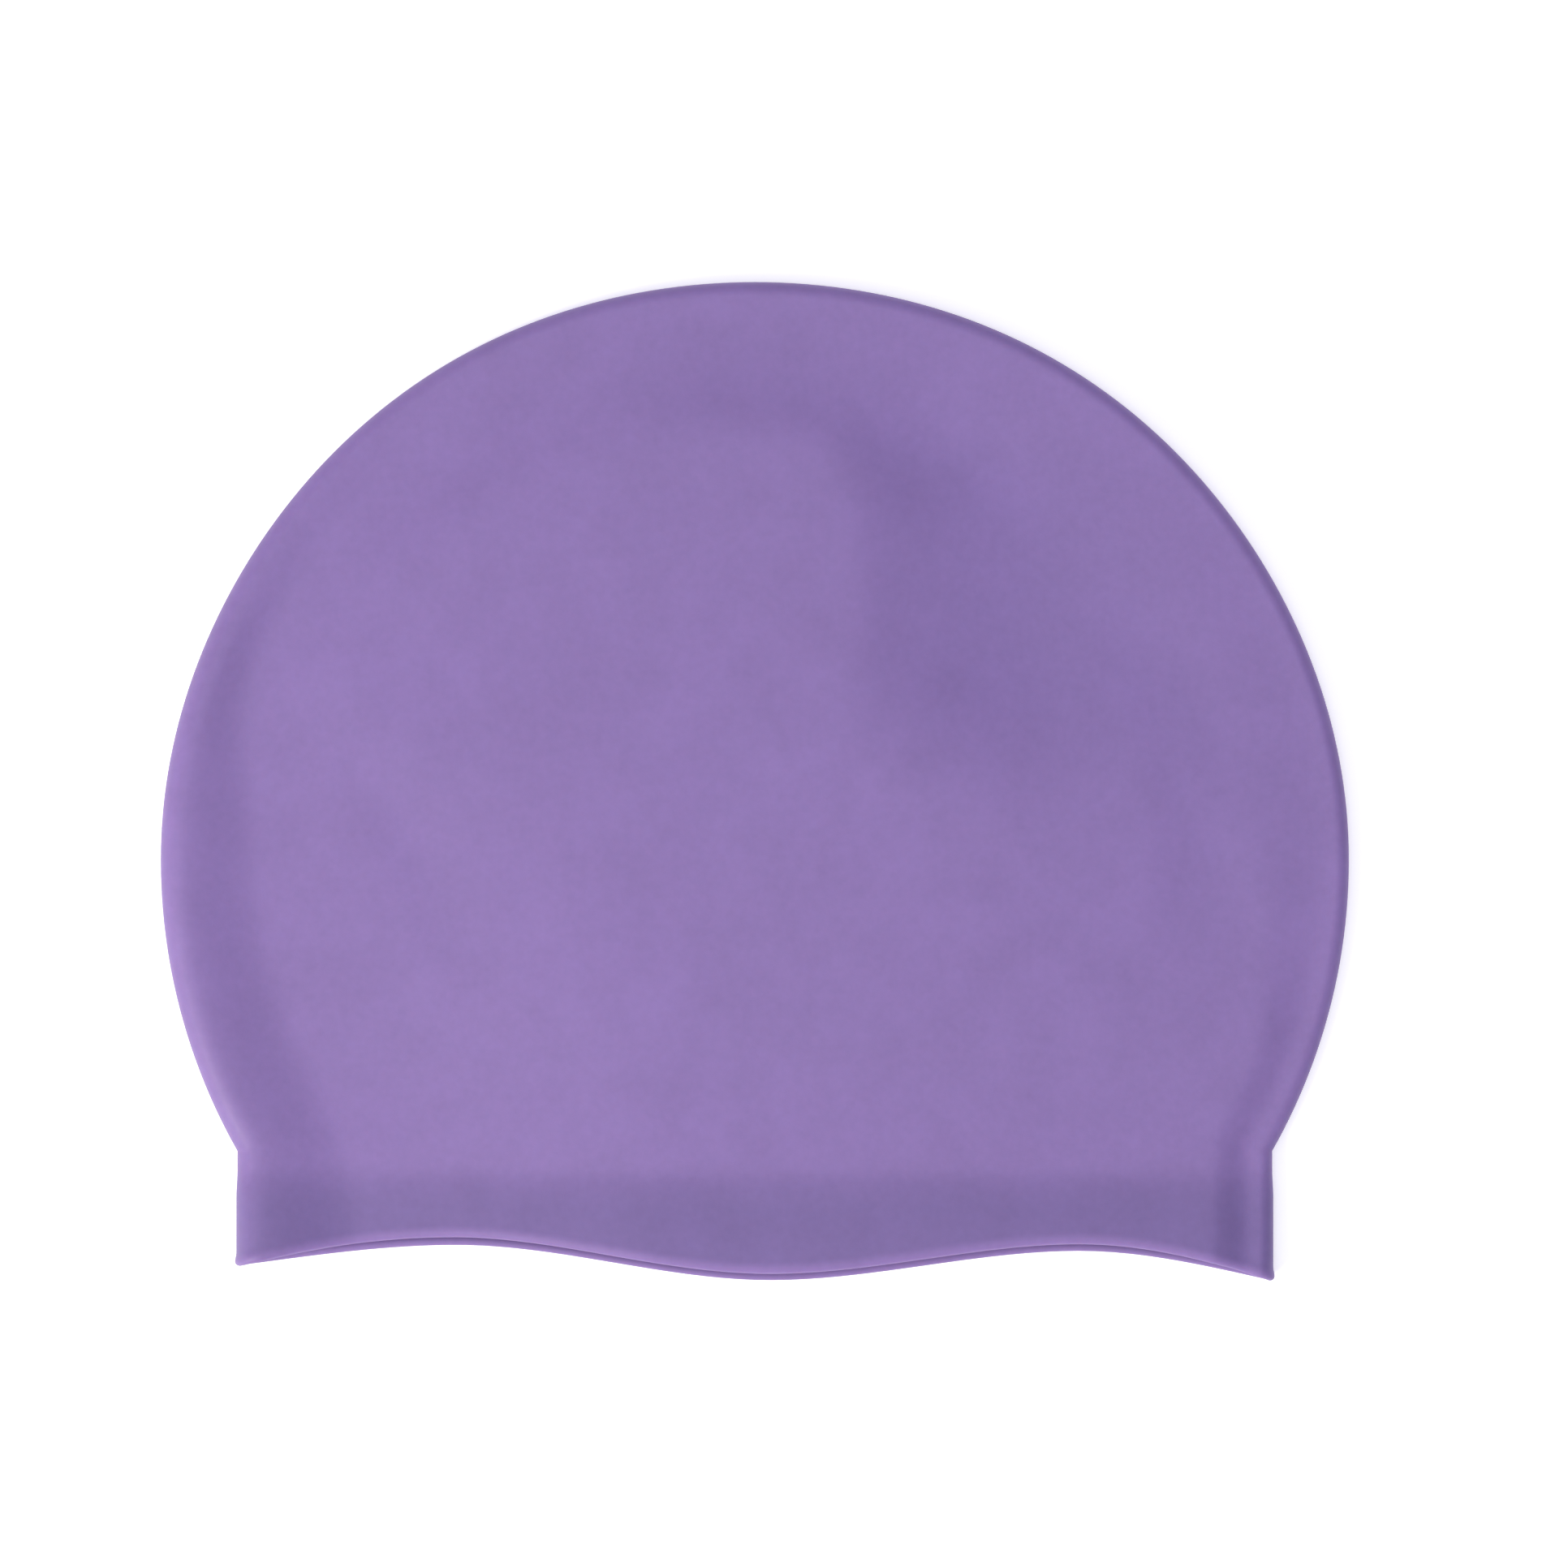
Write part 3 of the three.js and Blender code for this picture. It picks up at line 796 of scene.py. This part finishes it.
paper = bpy.data.materials.new("white_paper")
paper.use_nodes = True
paper.node_tree.nodes.clear()
bench = Bench(paper.node_tree)
place = bench.node("ShaderNodeTexCoord", {}, {}, out="Object")
fibres = bench.noise(place, FIBRE_SIZE, detail=3.0, seed=4.0)
relief = bench.node(
    "ShaderNodeBump",
    {},
    {"Strength": FIBRE_STRENGTH, "Distance": FIBRE_DEPTH, "Height": fibres},
)
shader = bench.node(
    "ShaderNodeBsdfPrincipled",
    {},
    {
        "Base Color": PAPER,
        "Roughness": PAPER_MATT,
        "Normal": relief,
        "Emission Color": (1, 1, 1, 1),
        "Emission Strength": PAPER_GLOW,
    },
)
bench.node("ShaderNodeOutputMaterial", {}, {"Surface": shader})

floor_mesh = bpy.data.meshes.new("floor")
floor_corners = [
    (FLOOR_HALF * x, FLOOR_HALF * y, -FLOOR_DROP) for x, y in ((-1, -1), (1, -1), (1, 1), (-1, 1))
]
floor_mesh.from_pydata(floor_corners, [], [(0, 1, 2, 3)])
floor_mesh.materials.append(paper)
floor = bpy.data.objects.new("floor", floor_mesh)
bpy.context.scene.collection.objects.link(floor)
print("floor, metres:", 2 * FLOOR_HALF, "square")


# %% Studio light
WARM = (1, 0.975, 0.82)
WHITE = (1, 1, 1)
COOL = (0.97, 0.98, 1.085, 1)
ALL_ROUND = 0.47


def softbox(name, azimuth, elevation, distance, side, power, tint):
    """A square area light that looks at the cap from a compass angle and a height angle."""
    light = bpy.data.lights.new(name, "AREA")
    light.color = tint
    light.shape = "SQUARE"
    light.size = side
    light.energy = power
    lamp = bpy.data.objects.new(name, light)
    flat = distance * np.cos(np.radians(elevation))
    lamp.location = (
        flat * np.cos(np.radians(azimuth)),
        flat * np.sin(np.radians(azimuth)),
        distance * np.sin(np.radians(elevation)),
    )
    lamp.rotation_euler = (-Vector(lamp.location)).to_track_quat("-Z", "Y").to_euler()
    bpy.context.scene.collection.objects.link(lamp)
    return lamp


key = softbox("key", azimuth=218, elevation=32, distance=2.3, side=1.0, power=44, tint=WARM)
top = softbox("top", azimuth=218, elevation=84, distance=2.5, side=2.2, power=18, tint=WHITE)

world = bpy.data.worlds.new("studio")
world.use_nodes = True
background = world.node_tree.nodes["Background"]
background.inputs["Color"].default_value = COOL
background.inputs["Strength"].default_value = ALL_ROUND
bpy.context.scene.world = world
bpy.context.scene.view_settings.view_transform = "Standard"
print("lights:", key.name, top.name)

# %% Camera straight above
LENS = 180
SENSOR = 36
VIEW_WIDTH = 290.32 * MM
VIEW_CENTRE = (5.4 * MM, -0.5 * MM)
VIEW_LEVEL = FOLD_HEIGHT / 2

camera_data = bpy.data.cameras.new("camera")
camera_data.lens = LENS
camera_data.sensor_width = SENSOR
camera = bpy.data.objects.new("camera", camera_data)
camera.location = (*VIEW_CENTRE, VIEW_LEVEL + VIEW_WIDTH * LENS / SENSOR)
bpy.context.scene.collection.objects.link(camera)
bpy.context.scene.camera = camera
print("camera height, m:", round(camera.location.z, 3))
